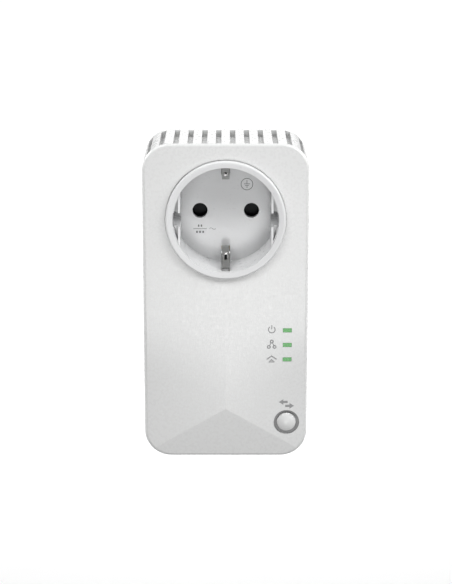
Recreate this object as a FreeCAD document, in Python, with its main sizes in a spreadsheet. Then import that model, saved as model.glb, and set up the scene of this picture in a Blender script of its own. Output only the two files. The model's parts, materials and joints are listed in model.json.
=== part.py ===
import FreeCAD, Part
import math
import os
from types import SimpleNamespace

import Sketcher
from FreeCAD import Placement, Rotation, Vector

# Powerline adapter with an earthed pass-through socket, in millimetres.
# The origin is the centre of the plug boss's end face, midway between the pins.
# +Y leaves the back, along the plug pins; the front looks along -Y; +Z is up.

DRIVING_SIZES = {
    # casing
    "body_width": 60.3,
    "body_top": 27.8,
    "body_bottom": -91.15,
    "corner_radius": 10.0,
    "face_y": -49.1,
    "rear_y": -17.5,
    "seam_y": -21.0,
    "wall": 2.0,
    "edge_round": 1.2,
    "tongue_depth": 2.0,
    "tongue_thick": 1.2,
    "joint_gap": 0.05,
    # faceted front
    "ridge_start": -36.4,
    "ridge_apex": -72.0,
    "facet_slope": 0.05,
    "ridge_fall": 0.5,
    "diagonal_slope": 0.6,
    # vents
    "vent_pitch": 5.1,
    "vent_width": 2.0,
    "vent_depth": 1.6,
    "vent_front_gap": 0.9,
    "vent_opening": 5.4,
    "vent_outer_x": 27.7,
    # socket
    "ring_radius": 21.8,
    "ring_proud": 2.0,
    "ring_dish": 0.5,
    "ring_gap": 0.15,
    "flange_radius": 23.2,
    "flange_thick": 1.5,
    "cup_radius": 20.9,
    "well_radius": 19.25,
    "well_depth": 18.0,
    "floor_thick": 2.5,
    "guide_half": 16.5,
    "guide_lip": 0.7,
    "guide_sunk": 1.4,
    "guide_pocket": 3.0,
    "guide_notch": 5.2,
    "pin_pitch": 19.0,
    "pin_hole_radius": 2.8,
    # earth clips
    "clip_width": 2.7,
    "clip_thick": 0.5,
    "clip_eye": 0.9,
    "clip_root_z": 14.0,
    "clip_slot_width": 3.1,
    "clip_slot_inner": 13.3,
    "clip_slot_outer": 20.9,
    "clip_slot_front": 2.4,
    "clip_housing_width": 7.0,
    "clip_housing_outer": 22.3,
    # contact carrier, shutter and its spring
    "carrier_radius": 17.0,
    "carrier_depth": 8.7,
    "chamber_width": 8.4,
    "chamber_height": 8.8,
    "shutter_room": 2.4,
    "shutter_thick": 1.8,
    "shutter_slope": 1.2,
    "shutter_half_width": 13.0,
    "shutter_half_height": 3.4,
    "shutter_travel": 6.4,
    "shutter_gap": 0.3,
    "spring_radius": 0.85,
    "spring_wire": 0.3,
    "spring_turns": 9.0,
    "carrier_screw_x": 5.2,
    "carrier_screw_z": -12.6,
    # plug
    "plug_pin_radius": 2.4,
    "plug_pin_length": 19.0,
    "plug_pin_neck": 2.0,
    "plug_pin_gap": 0.05,
    "plug_pin_seat": 0.6,
    "plug_pin_round": 1.6,
    "pin_collar_radius": 3.3,
    "boss_radius": 18.7,
    "boss_half_width": 16.0,
    "boss_end_wall": 2.5,
    "boss_side_wall": 2.2,
    "boss_rib": 1.6,
    "strip_width": 4.2,
    "strip_thick": 0.7,
    "strip_outer": 18.5,
    "contact_thick": 0.6,
    "contact_width": 4.6,
    "contact_half_gap": 3.3,
    "pinch_half_gap": 2.35,
    # button, switch and light guide
    "control_x": 22.6,
    "button_z": -77.6,
    "button_radius": 3.5,
    "button_hole_radius": 3.7,
    "button_recess_radius": 4.75,
    "button_recess": 1.3,
    "button_flange_radius": 4.6,
    "button_travel": 0.5,
    "switch_side": 6.0,
    "switch_tall": 3.4,
    "plunger_radius": 1.7,
    "window_width": 3.3,
    "window_tall": 1.6,
    "window_pitch": 5.65,
    "window_top_z": -41.5,
    # board and what is on it
    "board_front_y": -40.0,
    "board_thick": 1.6,
    "board_half_width": 27.3,
    "board_top": -24.8,
    "board_bottom": -87.4,
    "jack_half_width": 8.0,
    "jack_tall": 13.4,
    "jack_length": 15.8,
    "port_width": 11.8,
    "port_tall": 7.0,
    "shield_thick": 0.25,
    # screws
    "case_screw_x": 24.8,
    "case_screw_top": 21.6,
    "case_screw_bottom": -85.3,
    "post_radius": 3.2,
    "post_end_y": -23.1,
    "screw_radius": 1.25,
    "screw_head_radius": 2.4,
    "screw_head_tall": 1.8,
    "wire_radius": 0.9,
}


class Size:
    """A sheet size, or a sum or product of some: its value and the expression that gives it."""

    def __init__(self, text, value):
        self.text = text
        self.value = value

    def joined(self, sign, other, value):
        return Size("(%s %s %s)" % (self.text, sign, text_of(other)), value)

    def __add__(self, other):
        return self.joined("+", other, self.value + value_of(other))

    def __sub__(self, other):
        return self.joined("-", other, self.value - value_of(other))

    def __mul__(self, other):
        return self.joined("*", other, self.value * value_of(other))

    def __truediv__(self, other):
        return self.joined("/", other, self.value / value_of(other))

    def __neg__(self):
        return self * -1


def value_of(size):
    return size.value if isinstance(size, Size) else float(size)


def text_of(size):
    return size.text if isinstance(size, Size) else repr(float(size))


doc = FreeCAD.newDocument("powerline_adapter")
sheet = doc.addObject("Spreadsheet::Sheet", "dims")
for row, (alias, number) in enumerate(DRIVING_SIZES.items(), start=1):
    sheet.set("A%d" % row, alias)
    sheet.set("B%d" % row, str(number))
    sheet.setAlias("B%d" % row, alias)
doc.recompute()
S = SimpleNamespace(**{name: Size("dims." + name, float(sheet.get(name))) for name in DRIVING_SIZES})

# Sizes that follow from the driving ones
HALF_WIDTH = S.body_width / 2
RING_FRONT = S.face_y - S.ring_proud
FLOOR_Y = RING_FRONT + S.well_depth
FLOOR_BACK = FLOOR_Y + S.floor_thick
CARRIER_BACK = FLOOR_BACK + S.carrier_depth
PLATE_Y = S.rear_y - S.wall
PIN_X = S.pin_pitch / 2
BOARD_BACK = S.board_front_y + S.board_thick
BRIDGE_BACK = PLATE_Y - 1.4
STRIP_INNER = S.strip_outer - S.strip_thick
PIN_ROOT = -S.boss_end_wall - 4.3
BODY_HEIGHT = S.body_top - S.body_bottom

NODES = {}


# ---------------------------------------------------------------- document helpers

def bind(item, path, size):
    """Set a property to a size, and tie it to the sheet."""
    item.setExpression(path, text_of(size))


def keep(label, item):
    """Name a finished sub-part, which is written to a file of that name."""
    item.Label = label
    NODES[label] = item
    return item


def new_body(name):
    return doc.addObject("PartDesign::Body", name + "_body")


def new_sketch(body, name, plane, offset=0):
    """A sketch on one of the body's own origin planes, moved along that plane's normal."""
    item = body.newObject("Sketcher::SketchObject", name)
    support = [part for part in body.Origin.OriginFeatures if part.Role == plane][0]
    item.AttachmentSupport = [(support, "")]
    item.MapMode = "FlatFace"
    bind(item, "AttachmentOffset.Base.z", offset)
    return item


def front_sketch(body, name, y):
    """A sketch across the Y axis at y. It shows X and Z, and its normal is -Y."""
    offset = -y if isinstance(y, Size) else -float(y)
    return new_sketch(body, name, "XZ_Plane", offset)


def place_point(item, geometry, end, x, y):
    """Dimension one point of a sketch from the sketch's origin."""
    if value_of(x) == 0:
        item.addConstraint(Sketcher.Constraint("PointOnObject", geometry, end, -2))
    else:
        index = item.addConstraint(Sketcher.Constraint("DistanceX", -1, 1, geometry, end, value_of(x)))
        bind(item, "Constraints[%d]" % index, x)
    if value_of(y) == 0:
        item.addConstraint(Sketcher.Constraint("PointOnObject", geometry, end, -1))
    else:
        index = item.addConstraint(Sketcher.Constraint("DistanceY", -1, 1, geometry, end, value_of(y)))
        bind(item, "Constraints[%d]" % index, y)


def draw_polygon(item, points):
    """A closed outline of straight lines through dimensioned points."""
    count = len(points)
    spots = [Vector(value_of(x), value_of(y), 0) for x, y in points]
    first = item.GeometryCount
    for number in range(count):
        item.addGeometry(Part.LineSegment(spots[number], spots[(number + 1) % count]), False)
    for number in range(count):
        following = first + (number + 1) % count
        item.addConstraint(Sketcher.Constraint("Coincident", first + number, 2, following, 1))
    for number, (x, y) in enumerate(points):
        place_point(item, first + number, 1, x, y)


def draw_box(item, left, right, low, high):
    draw_polygon(item, [(left, low), (right, low), (right, high), (left, high)])


def draw_circle(item, x, y, radius):
    centre = Vector(value_of(x), value_of(y), 0)
    number = item.addGeometry(Part.Circle(centre, Vector(0, 0, 1), value_of(radius)), False)
    place_point(item, number, 3, x, y)
    index = item.addConstraint(Sketcher.Constraint("Radius", number, value_of(radius)))
    bind(item, "Constraints[%d]" % index, radius)


def draw_flatted_circle(item, radius, half_width):
    """A circle about the sketch's origin, cut off by upright flats at both sides."""
    spread = math.acos(value_of(half_width) / value_of(radius))
    circle = Part.Circle(Vector(0, 0, 0), Vector(0, 0, 1), value_of(radius))
    top = item.addGeometry(Part.ArcOfCircle(circle, spread, math.pi - spread), False)
    bottom = item.addGeometry(Part.ArcOfCircle(circle, math.pi + spread, 2 * math.pi - spread), False)
    reach = value_of(radius) * math.sin(spread)
    half = value_of(half_width)
    left = item.addGeometry(Part.LineSegment(Vector(-half, reach, 0), Vector(-half, -reach, 0)), False)
    right = item.addGeometry(Part.LineSegment(Vector(half, -reach, 0), Vector(half, reach, 0)), False)
    for pair in ((top, 2, left, 1), (left, 2, bottom, 1), (bottom, 2, right, 1), (right, 2, top, 1)):
        item.addConstraint(Sketcher.Constraint("Coincident", *pair))
    for arc in (top, bottom):
        item.addConstraint(Sketcher.Constraint("Coincident", arc, 3, -1, 1))
        index = item.addConstraint(Sketcher.Constraint("Radius", arc, value_of(radius)))
        bind(item, "Constraints[%d]" % index, radius)
    for line, side in ((left, -1), (right, 1)):
        item.addConstraint(Sketcher.Constraint("Vertical", line))
        index = item.addConstraint(Sketcher.Constraint("DistanceX", -1, 1, line, 1, side * half))
        bind(item, "Constraints[%d]" % index, half_width * side)


def pad(body, profile, length, back=False):
    item = body.newObject("PartDesign::Pad", profile.Name + "_pad")
    item.Profile = profile
    item.Reversed = back
    bind(item, "Length", length)
    body.Tip = item
    return item


def pocket(body, profile, length):
    """Cut from a front sketch towards +Y, which has to take some material away."""
    doc.recompute()
    before = body.Shape.Volume
    item = body.newObject("PartDesign::Pocket", profile.Name + "_pocket")
    item.Profile = profile
    bind(item, "Length", length)
    body.Tip = item
    doc.recompute()
    if body.Shape.Volume >= before - 1e-6:
        raise RuntimeError("pocket cuts nothing: " + profile.Name)
    return item


def revolve(body, profile):
    """Turn an XY sketch about the Y axis."""
    item = body.newObject("PartDesign::Revolution", profile.Name + "_turned")
    item.Profile = profile
    item.ReferenceAxis = (profile, ["V_Axis"])
    item.Angle = 360
    body.Tip = item
    return item


def edges_that(shape, test):
    return ["Edge%d" % number for number, edge in enumerate(shape.Edges, start=1) if test(edge)]


def dress(body, kind, size_name, radius, test):
    """Fillet or chamfer the body's edges that pass a test."""
    doc.recompute()
    base = body.Tip
    item = body.newObject("PartDesign::" + kind, base.Name + "_" + kind.lower())
    item.Base = (base, edges_that(base.Shape, test))
    bind(item, size_name, radius)
    body.Tip = item
    return item


def box(name, x, y, z):
    """A block between pairs of limits."""
    item = doc.addObject("Part::Box", name)
    for path, (low, high) in (("Length", x), ("Width", y), ("Height", z)):
        span = high - low if isinstance(high, Size) else (-low + high if isinstance(low, Size) else high - low)
        bind(item, path, span)
    for letter, limits in zip("xyz", (x, y, z)):
        bind(item, "Placement.Base." + letter, limits[0])
    return item


def rod(name, x, z, radius, y):
    """A round bar along Y between two levels."""
    item = doc.addObject("Part::Cylinder", name)
    bind(item, "Radius", radius)
    low, high = y
    bind(item, "Height", high - low if isinstance(high, Size) else -low + high)
    item.Placement.Rotation = Rotation(Vector(1, 0, 0), -90)
    for letter, place in zip("xyz", (x, low, z)):
        bind(item, "Placement.Base." + letter, place)
    return item


def fuse(name, items):
    item = doc.addObject("Part::MultiFuse", name)
    item.Shapes = items
    return item


def common(name, base, tool):
    item = doc.addObject("Part::Common", name)
    item.Base = base
    item.Tool = tool
    return item


def cut(name, base, tools):
    item = doc.addObject("Part::Cut", name)
    item.Base = base
    item.Tool = tools[0] if len(tools) == 1 else fuse(name + "_tools", tools)
    return item


def group(name, items):
    """Separate solids that make one sub-part."""
    item = doc.addObject("Part::Compound", name)
    item.Links = items
    return item


def shaped(name, shape):
    item = doc.addObject("Part::Feature", name)
    item.Shape = shape
    item.Placement = shape.Placement
    return item


def bent_strip(name, points, thick, width, x=0.0):
    """A strip of sheet metal bent along points of the YZ plane, with the bends rounded outside."""
    spine = Part.makePolygon([Vector(0, y, z) for y, z in points])
    side = spine.makeOffset2D(thick, join=0, fill=True, openResult=True)
    solid = side.extrude(Vector(width, 0, 0))
    solid.translate(Vector(x - width / 2, 0, 0))
    return shaped(name, solid)


def wire_run(name, points, radius):
    """A round wire along straight runs joined by tangent arcs."""
    spots = [Vector(*point) for point in points]
    edges = []
    start = spots[0]
    for before, corner, after in zip(spots, spots[1:], spots[2:]):
        into = (corner - before).normalize()
        out = (after - corner).normalize()
        turn = into.getAngle(out)
        reach = 0.45 * min((corner - before).Length, (after - corner).Length)
        bend = reach / math.tan(turn / 2)
        first = corner - into * reach
        last = corner + out * reach
        inward = (out - into).normalize()
        middle = corner + inward * (bend / math.cos(turn / 2) - bend)
        edges.append(Part.LineSegment(start, first).toShape())
        edges.append(Part.Arc(first, middle, last).toShape())
        start = last
    edges.append(Part.LineSegment(start, spots[-1]).toShape())
    path = Part.Wire(edges)
    direction = spots[1] - spots[0]
    ring = Part.Wire([Part.makeCircle(radius, spots[0], direction)])
    return shaped(name, path.makePipeShell([ring], True, False))


# ---------------------------------------------------------------- casing outline and front surface

def outline_block(name, inset, y_back, y_front):
    """A rounded block with the casing's outline, moved inwards by inset, between two levels."""
    body = new_body(name)
    profile = front_sketch(body, name + "_outline", y_back)
    draw_box(profile, -HALF_WIDTH + inset, HALF_WIDTH - inset, S.body_bottom + inset, S.body_top - inset)
    pad(body, profile, y_back - y_front)
    dress(body, "Fillet", "Radius", S.corner_radius - inset, runs_along_y)
    return body


def runs_along_y(edge):
    return abs(abs(edge.tangentAt(edge.FirstParameter).y) - 1) < 1e-6


FALL_SLOPE = 2 * S.ridge_fall.value / (S.ridge_start.value - S.ridge_apex.value)
LOWER_SLOPE = FALL_SLOPE + S.facet_slope.value / S.diagonal_slope.value


def face_level(x, z):
    """The front surface's y at x, z, outside the lower triangle."""
    across = S.facet_slope.value * abs(x)
    if z >= S.ridge_start.value:
        return S.face_y.value
    if z <= S.ridge_apex.value:
        return S.face_y.value + across + S.ridge_fall.value + FALL_SLOPE * (S.ridge_apex.value - z)
    part = (S.ridge_start.value - z) / (S.ridge_start.value - S.ridge_apex.value)
    ease = part * part * (3 - 2 * part)
    return S.face_y.value + across * ease + S.ridge_fall.value * part * part


def ridge_patch(side, shift, reach):
    """The surface beside the ridge, which starts flat and turns into a plane facet at the apex."""
    ease_poles = (0, 0, 1, 1)
    fall_poles = (0, 0, 1 / 3, 1)
    top = S.ridge_start.value
    patch = Part.BezierSurface()
    patch.increase(1, 3)
    for column, x in enumerate((0, reach), start=1):
        for level in range(4):
            z = top + (S.ridge_apex.value - top) * level / 3
            across = S.facet_slope.value * x * ease_poles[level]
            y = S.face_y.value + shift + across + S.ridge_fall.value * fall_poles[level]
            patch.setPole(column, level + 1, Vector(side * x, y, z))
    return patch.toShape()


def plane_facet(corners):
    return Part.Face(Part.makePolygon(corners + corners[:1]))


def behind_front(name, shift):
    """All the space behind the faceted front surface, moved back by shift."""
    reach = HALF_WIDTH.value + 5
    high = S.body_top.value + 5
    low = S.body_bottom.value - 5
    y_top = S.face_y.value + shift
    start, apex = S.ridge_start.value, S.ridge_apex.value
    faces = [plane_facet([Vector(-reach, y_top, start), Vector(reach, y_top, start),
                          Vector(reach, y_top, high), Vector(-reach, y_top, high)])]
    for side in (-1, 1):
        faces.append(ridge_patch(side, shift, reach))
        corners = [(0, apex), (reach, apex), (reach, low), (0, low)]
        faces.append(plane_facet([Vector(side * x, face_level(x, z) + shift, z) for x, z in corners]))
    depth = 60
    solids = [face.extrude(Vector(0, depth, 0)) for face in faces]
    whole = solids[0].multiFuse(solids[1:]).removeSplitter()
    y_apex = y_top + S.ridge_fall.value
    y_low = y_apex + LOWER_SLOPE * (apex - low)
    wedge = plane_facet([Vector(-reach, y_apex, apex), Vector(-reach, y_low, low),
                         Vector(-reach, y_top - 5, low), Vector(-reach, y_top - 5, apex)])
    return shaped(name, whole.cut(wedge.extrude(Vector(2 * reach, 0, 0))))


def on_front_rim(edge):
    """True for the edges where the front surface meets the casing's sides."""
    spot = edge.valueAt((edge.FirstParameter + edge.LastParameter) / 2)
    if spot.y > S.face_y.value + 4.5:
        return False
    middle_z = (S.body_top.value + S.body_bottom.value) / 2
    across = abs(spot.x) - (HALF_WIDTH.value - S.corner_radius.value)
    along = abs(spot.z - middle_z) - (BODY_HEIGHT.value / 2 - S.corner_radius.value)
    distance = math.hypot(max(across, 0), max(along, 0)) + min(max(across, along), 0)
    return abs(distance - S.corner_radius.value) < 1e-4 and not runs_along_y(edge)


# ---------------------------------------------------------------- casing

CASE_SCREW_SPOTS = [(S.case_screw_x * side, z)
                    for side in (-1, 1) for z in (S.case_screw_top, S.case_screw_bottom)]
BOARD_POST_SPOTS = [(-23.6, -29.0), (23.6, -29.0), (-23.6, -70.5)]
WINDOW_LEVELS = [S.window_top_z - S.window_pitch * number for number in range(3)]


def vent_tools():
    """Grooves over the top and its corners, each ending in an opening at the seam."""
    tools = []
    bend_x = HALF_WIDTH.value - S.corner_radius.value
    bend_z = S.body_top.value - S.corner_radius.value
    columns = [(number + 0.5) * S.vent_pitch.value for number in range(5)] + [S.vent_outer_x.value]
    for side in (-1, 1):
        for number, column in enumerate(columns):
            lean = math.asin(max(column - bend_x, 0) / S.corner_radius.value)
            pivot_x = min(column, bend_x)
            swing = Placement(Vector(side * pivot_x, 0, bend_z), Rotation(Vector(0, 1, 0), math.degrees(side * lean)))
            for kind, y_front, depth in (("groove", S.face_y + S.vent_front_gap, S.vent_depth),
                                         ("opening", S.seam_y - S.vent_opening, S.wall * 2)):
                item = doc.addObject("Part::Box", "vent_%s_%d_%d" % (kind, number, side + 1))
                bind(item, "Length", S.vent_width)
                bind(item, "Width", S.seam_y - y_front + 1)
                bind(item, "Height", depth + 1)
                local = Vector(-S.vent_width.value / 2, y_front.value, (S.corner_radius - depth).value)
                item.Placement = swing.multiply(Placement(local, Rotation()))
                tools.append(item)
    return tools


def low_vent_tools():
    """Short openings through the bottom wall, beside the network jack."""
    tools = []
    for side in (-1, 1):
        for number in range(2, 5):
            middle = S.vent_pitch * (side * (number + 0.25))
            tools.append(box("low_vent_%d_%d" % (number, side + 1),
                             (middle - S.vent_width / 2, middle + S.vent_width / 2),
                             (S.face_y + 11, S.face_y + 23), (S.body_bottom - 1, S.body_bottom + S.wall + 1)))
    return tools


def control_tools():
    """The windows for the light guide and the button's dish, hole and flat seat."""
    tools = []
    for number, level in enumerate(WINDOW_LEVELS):
        tools.append(box("window_cut_%d" % number,
                         (S.control_x - S.window_width / 2, S.control_x + S.window_width / 2),
                         (S.face_y - 2, S.face_y + 5),
                         (level - S.window_tall / 2, level + S.window_tall / 2)))
    level = face_level(S.control_x.value, S.button_z.value)
    dish = S.button_recess + level
    tools.append(rod("button_dish", S.control_x, S.button_z, S.button_recess_radius, (dish - 5, dish)))
    tools.append(rod("button_bore", S.control_x, S.button_z, S.button_hole_radius, (dish - 5, dish + 5)))
    seat = S.wall + (level + 0.1)
    tools.append(rod("button_seat", S.control_x, S.button_z, S.button_flange_radius + 0.6, (seat, seat + 3)))
    return tools


def front_cover():
    blank = outline_block("cover_block", 0, S.seam_y, S.face_y - 5)
    outside = common("cover_outside", blank, behind_front("front_space", 0))
    doc.recompute()
    rounded = doc.addObject("Part::Fillet", "cover_rounded")
    rounded.Base = outside
    rim = [number for number, edge in enumerate(outside.Shape.Edges, start=1) if on_front_rim(edge)]
    rounded.Edges = [(number, S.edge_round.value, S.edge_round.value) for number in rim]
    cavity = common("cover_cavity", outline_block("cavity_block", S.wall, S.seam_y + 1, S.face_y - 5),
                    behind_front("cavity_space", S.wall.value))
    shell = cut("cover_shell", rounded, [cavity])
    posts = [rod("case_post_%d" % number, x, z, S.post_radius, (S.face_y - 5, S.post_end_y))
             for number, (x, z) in enumerate(CASE_SCREW_SPOTS)]
    posts += [rod("board_post_%d" % number, x, z, S.post_radius - 0.6, (S.face_y - 5, S.board_front_y))
              for number, (x, z) in enumerate(BOARD_POST_SPOTS)]
    trimmed = common("posts_behind_front", fuse("posts", posts), behind_front("post_space", S.wall.value / 2))
    inside = common("posts_in_outline", trimmed, outline_block("post_outline", S.wall / 2, S.seam_y, S.face_y - 5))
    solid = fuse("cover_solid", [shell, inside])
    tools = [rod("ring_hole", 0, 0, S.ring_radius + S.ring_gap, (S.face_y - 5, S.face_y + 6))]
    tools += [rod("post_bore_%d" % number, x, z, S.screw_radius + 0.02, (S.post_end_y - 13, S.post_end_y + 1))
              for number, (x, z) in enumerate(CASE_SCREW_SPOTS)]
    tools += [rod("board_bore_%d" % number, x, z, S.screw_radius - 0.18,
                  (S.board_front_y - 5, S.board_front_y + 1))
              for number, (x, z) in enumerate(BOARD_POST_SPOTS)]
    tools.append(box("port_cut", (-S.jack_half_width - 0.3, S.jack_half_width + 0.3),
                     (BOARD_BACK - 0.2, BOARD_BACK + S.jack_tall + 0.3),
                     (S.body_bottom - 1, S.body_bottom + S.wall + 1)))
    keep("front_cover", cut("front_cover", solid, tools + vent_tools() + low_vent_tools() + control_tools()))


def rear_cover():
    shell = outline_block("rear_block", 0, S.rear_y, S.seam_y)
    tongue = outline_block("tongue_block", S.wall + S.joint_gap, PLATE_Y, S.seam_y - S.tongue_depth)
    hollow = outline_block("rear_hollow", S.wall + S.joint_gap + S.tongue_thick, PLATE_Y,
                           S.seam_y - S.tongue_depth - 1)
    tray = cut("rear_tray", fuse("rear_blank", [shell, tongue]), [hollow])

    boss = new_body("boss")
    outline = front_sketch(boss, "boss_outline", 0)
    draw_flatted_circle(outline, S.boss_radius, S.boss_half_width)
    pad(boss, outline, -PLATE_Y)
    dress(boss, "Chamfer", "Size", 0.8, lambda edge: edge.BoundBox.YMin > -1e-6)
    ribs = [box("boss_rib_%d" % side, (S.boss_half_width * side - 2.2, S.boss_half_width * side + 2.2),
                (S.rear_y, -1.5), (-S.boss_rib / 2, S.boss_rib / 2)) for side in (-1, 1)]
    pillars = [rod("rear_pillar_%d" % number, x, z, S.post_radius, (S.post_end_y, S.rear_y - 0.5))
               for number, (x, z) in enumerate(CASE_SCREW_SPOTS)]
    tongue_inside = outline_block("pillar_outline", S.wall + S.joint_gap, S.rear_y, S.post_end_y - 1)
    trimmed = common("pillars_in_outline", fuse("rear_pillars", pillars), tongue_inside)
    solid = fuse("rear_solid", [tray, boss, trimmed] + ribs)

    core = new_body("boss_core")
    inner = front_sketch(core, "boss_core_outline", -S.boss_end_wall)
    draw_flatted_circle(inner, S.boss_radius - S.boss_side_wall, S.boss_half_width - S.boss_side_wall)
    pad(core, inner, -PLATE_Y - S.boss_end_wall + 1)
    tools = [core]
    for side in (-1, 1):
        tools.append(rod("boss_pin_hole_%d" % side, PIN_X * side, 0, S.plug_pin_neck + S.plug_pin_gap,
                         (-S.boss_end_wall - 1, 1)))
        tools.append(pin_seat(side))
        low, high = sorted((side * (STRIP_INNER.value - 0.05), side * 20.0))
        tools.append(box("strip_groove_%d" % side, (-S.strip_width / 2 - 0.1, S.strip_width / 2 + 0.1),
                         (S.rear_y - 4, -0.9), (low, high)))
    for number, (x, z) in enumerate(CASE_SCREW_SPOTS):
        tools.append(rod("screw_way_%d" % number, x, z, S.screw_radius + 0.15, (S.post_end_y - 1, S.rear_y + 1)))
        tools.append(rod("head_way_%d" % number, x, z, S.screw_head_radius + 0.2, (S.rear_y - 3, S.rear_y + 1)))
    tools.append(box("label_recess", (-21.2, 21.2), (S.rear_y - 0.25, S.rear_y + 1), (-79.2, -38.8)))
    keep("rear_cover", cut("rear_cover", solid, tools))
    keep("rating_label", box("rating_label", (-21.0, 21.0), (S.rear_y - 0.25, S.rear_y - 0.05), (-79.0, -39.0)))


def pin_seat(side):
    """The countersink in the boss's end, in which a pin's shoulder sits."""
    seat = doc.addObject("Part::Cone", "pin_seat_%d" % side)
    bind(seat, "Radius1", S.plug_pin_neck + S.plug_pin_gap)
    bind(seat, "Radius2", S.plug_pin_neck + S.plug_pin_gap + S.plug_pin_seat)
    bind(seat, "Height", S.plug_pin_seat)
    seat.Placement = Placement(Vector(0, 0, 0), Rotation(Vector(1, 0, 0), -90))
    bind(seat, "Placement.Base.x", PIN_X * side)
    bind(seat, "Placement.Base.y", -S.plug_pin_seat)
    return seat


def screw(name, x, z, radius, head_radius, head_y, tip_y):
    """A pan-head screw along Y, its head towards the back, with a cross recess."""
    shaft = rod(name + "_shaft", x, z, radius, (tip_y, head_y))
    head = rod(name + "_head", x, z, head_radius, (head_y, head_y + S.screw_head_tall))
    slots = []
    for turn, (wide, tall) in enumerate(((2.6, 0.5), (0.5, 2.6))):
        slots.append(box("%s_slot_%d" % (name, turn), (as_size(x) - wide / 2, as_size(x) + wide / 2),
                         (head_y + S.screw_head_tall - 0.8, head_y + S.screw_head_tall + 1),
                         (as_size(z) - tall / 2, as_size(z) + tall / 2)))
    return cut(name, fuse(name + "_blank", [head, shaft]), slots)


def as_size(number):
    return number if isinstance(number, Size) else Size(repr(float(number)), float(number))


def screws():
    case = [screw("case_screw_%d" % number, x, z, S.screw_radius, S.screw_head_radius,
                  S.rear_y - 3, S.post_end_y - 12)
            for number, (x, z) in enumerate(CASE_SCREW_SPOTS)]
    keep("case_screws", group("case_screw_set", case))
    board = [screw("board_screw_%d" % number, x, z, S.screw_radius - 0.2, S.screw_head_radius - 0.3,
                   BOARD_BACK, S.board_front_y - 4.5)
             for number, (x, z) in enumerate(BOARD_POST_SPOTS)]
    keep("board_screws", group("board_screw_set", board))
    carrier = [screw("carrier_screw_%d" % side, S.carrier_screw_x * side, S.carrier_screw_z, 1.0, 2.0,
                     CARRIER_BACK, FLOOR_BACK + 0.6) for side in (-1, 1)]
    keep("carrier_screws", group("carrier_screw_set", carrier))


# ---------------------------------------------------------------- socket

def socket_insert():
    body = new_body("socket_insert")
    profile = new_sketch(body, "insert_profile", "XY_Plane")
    flange_front = S.face_y + S.wall
    flange_back = flange_front + S.flange_thick
    mouth_level = RING_FRONT + S.ring_dish
    draw_polygon(profile, [(0, mouth_level), (S.well_radius, mouth_level),
                           (S.ring_radius, RING_FRONT), (S.ring_radius, flange_front),
                           (S.flange_radius, flange_front), (S.flange_radius, flange_back),
                           (S.cup_radius, flange_back), (S.cup_radius, FLOOR_BACK), (0, FLOOR_BACK)])
    revolve(body, profile)

    housing = front_sketch(body, "clip_housings", FLOOR_BACK)
    for side in (-1, 1):
        inner, outer = sorted((side * 19.0, side * S.clip_housing_outer.value))
        draw_box(housing, -S.clip_housing_width / 2, S.clip_housing_width / 2, inner, outer)
    pad(body, housing, FLOOR_BACK - flange_back + 0.5)

    pillars = front_sketch(body, "carrier_pillars", FLOOR_BACK + 4.5)
    for side in (-1, 1):
        draw_circle(pillars, S.carrier_screw_x * side, S.carrier_screw_z, 2.3)
    pad(body, pillars, 5.0)

    mouth = front_sketch(body, "well_mouth", RING_FRONT)
    draw_circle(mouth, 0, 0, S.well_radius)
    pocket(body, mouth, S.guide_sunk)

    well = front_sketch(body, "well", RING_FRONT)
    draw_flatted_circle(well, S.well_radius, S.guide_half)
    pocket(body, well, S.well_depth)

    guide_face = RING_FRONT + S.guide_sunk
    for side, tag in ((-1, "left"), (1, "right")):
        hollow = front_sketch(body, "guide_pocket_" + tag, guide_face)
        draw_guide_pocket(hollow, side)
        pocket(body, hollow, S.guide_pocket)
        notch = front_sketch(body, "guide_notch_" + tag, guide_face)
        near, far = sorted((side * (S.guide_half.value - 1), side * (S.well_radius.value - 0.05)))
        draw_box(notch, near, far, -S.guide_notch / 2, S.guide_notch / 2)
        pocket(body, notch, S.well_depth - S.guide_sunk)

    holes = front_sketch(body, "pin_holes", FLOOR_Y - 1)
    for side in (-1, 1):
        draw_circle(holes, PIN_X * side, 0, S.pin_hole_radius)
    pocket(body, holes, S.floor_thick + 2)

    slots = front_sketch(body, "clip_slots", RING_FRONT + S.clip_slot_front)
    for side in (-1, 1):
        low, high = sorted((side * S.clip_slot_inner.value, side * S.clip_slot_outer.value))
        draw_box(slots, -S.clip_slot_width / 2, S.clip_slot_width / 2, low, high)
    pocket(body, slots, S.well_depth + S.floor_thick)

    bores = front_sketch(body, "carrier_screw_bores", FLOOR_BACK + 0.4)
    for side in (-1, 1):
        draw_circle(bores, S.carrier_screw_x * side, S.carrier_screw_z, 1.02)
    pocket(body, bores, 6.0)

    def ring_edge(edge):
        box_of = edge.BoundBox
        at_front = min(abs(box_of.YMax - level.value) for level in (RING_FRONT, mouth_level)) < 1e-6
        return at_front and box_of.XLength > 2 * S.well_radius.value - 0.1

    dress(body, "Fillet", "Radius", 0.75, ring_edge)
    keep("socket_insert", body)


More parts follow.
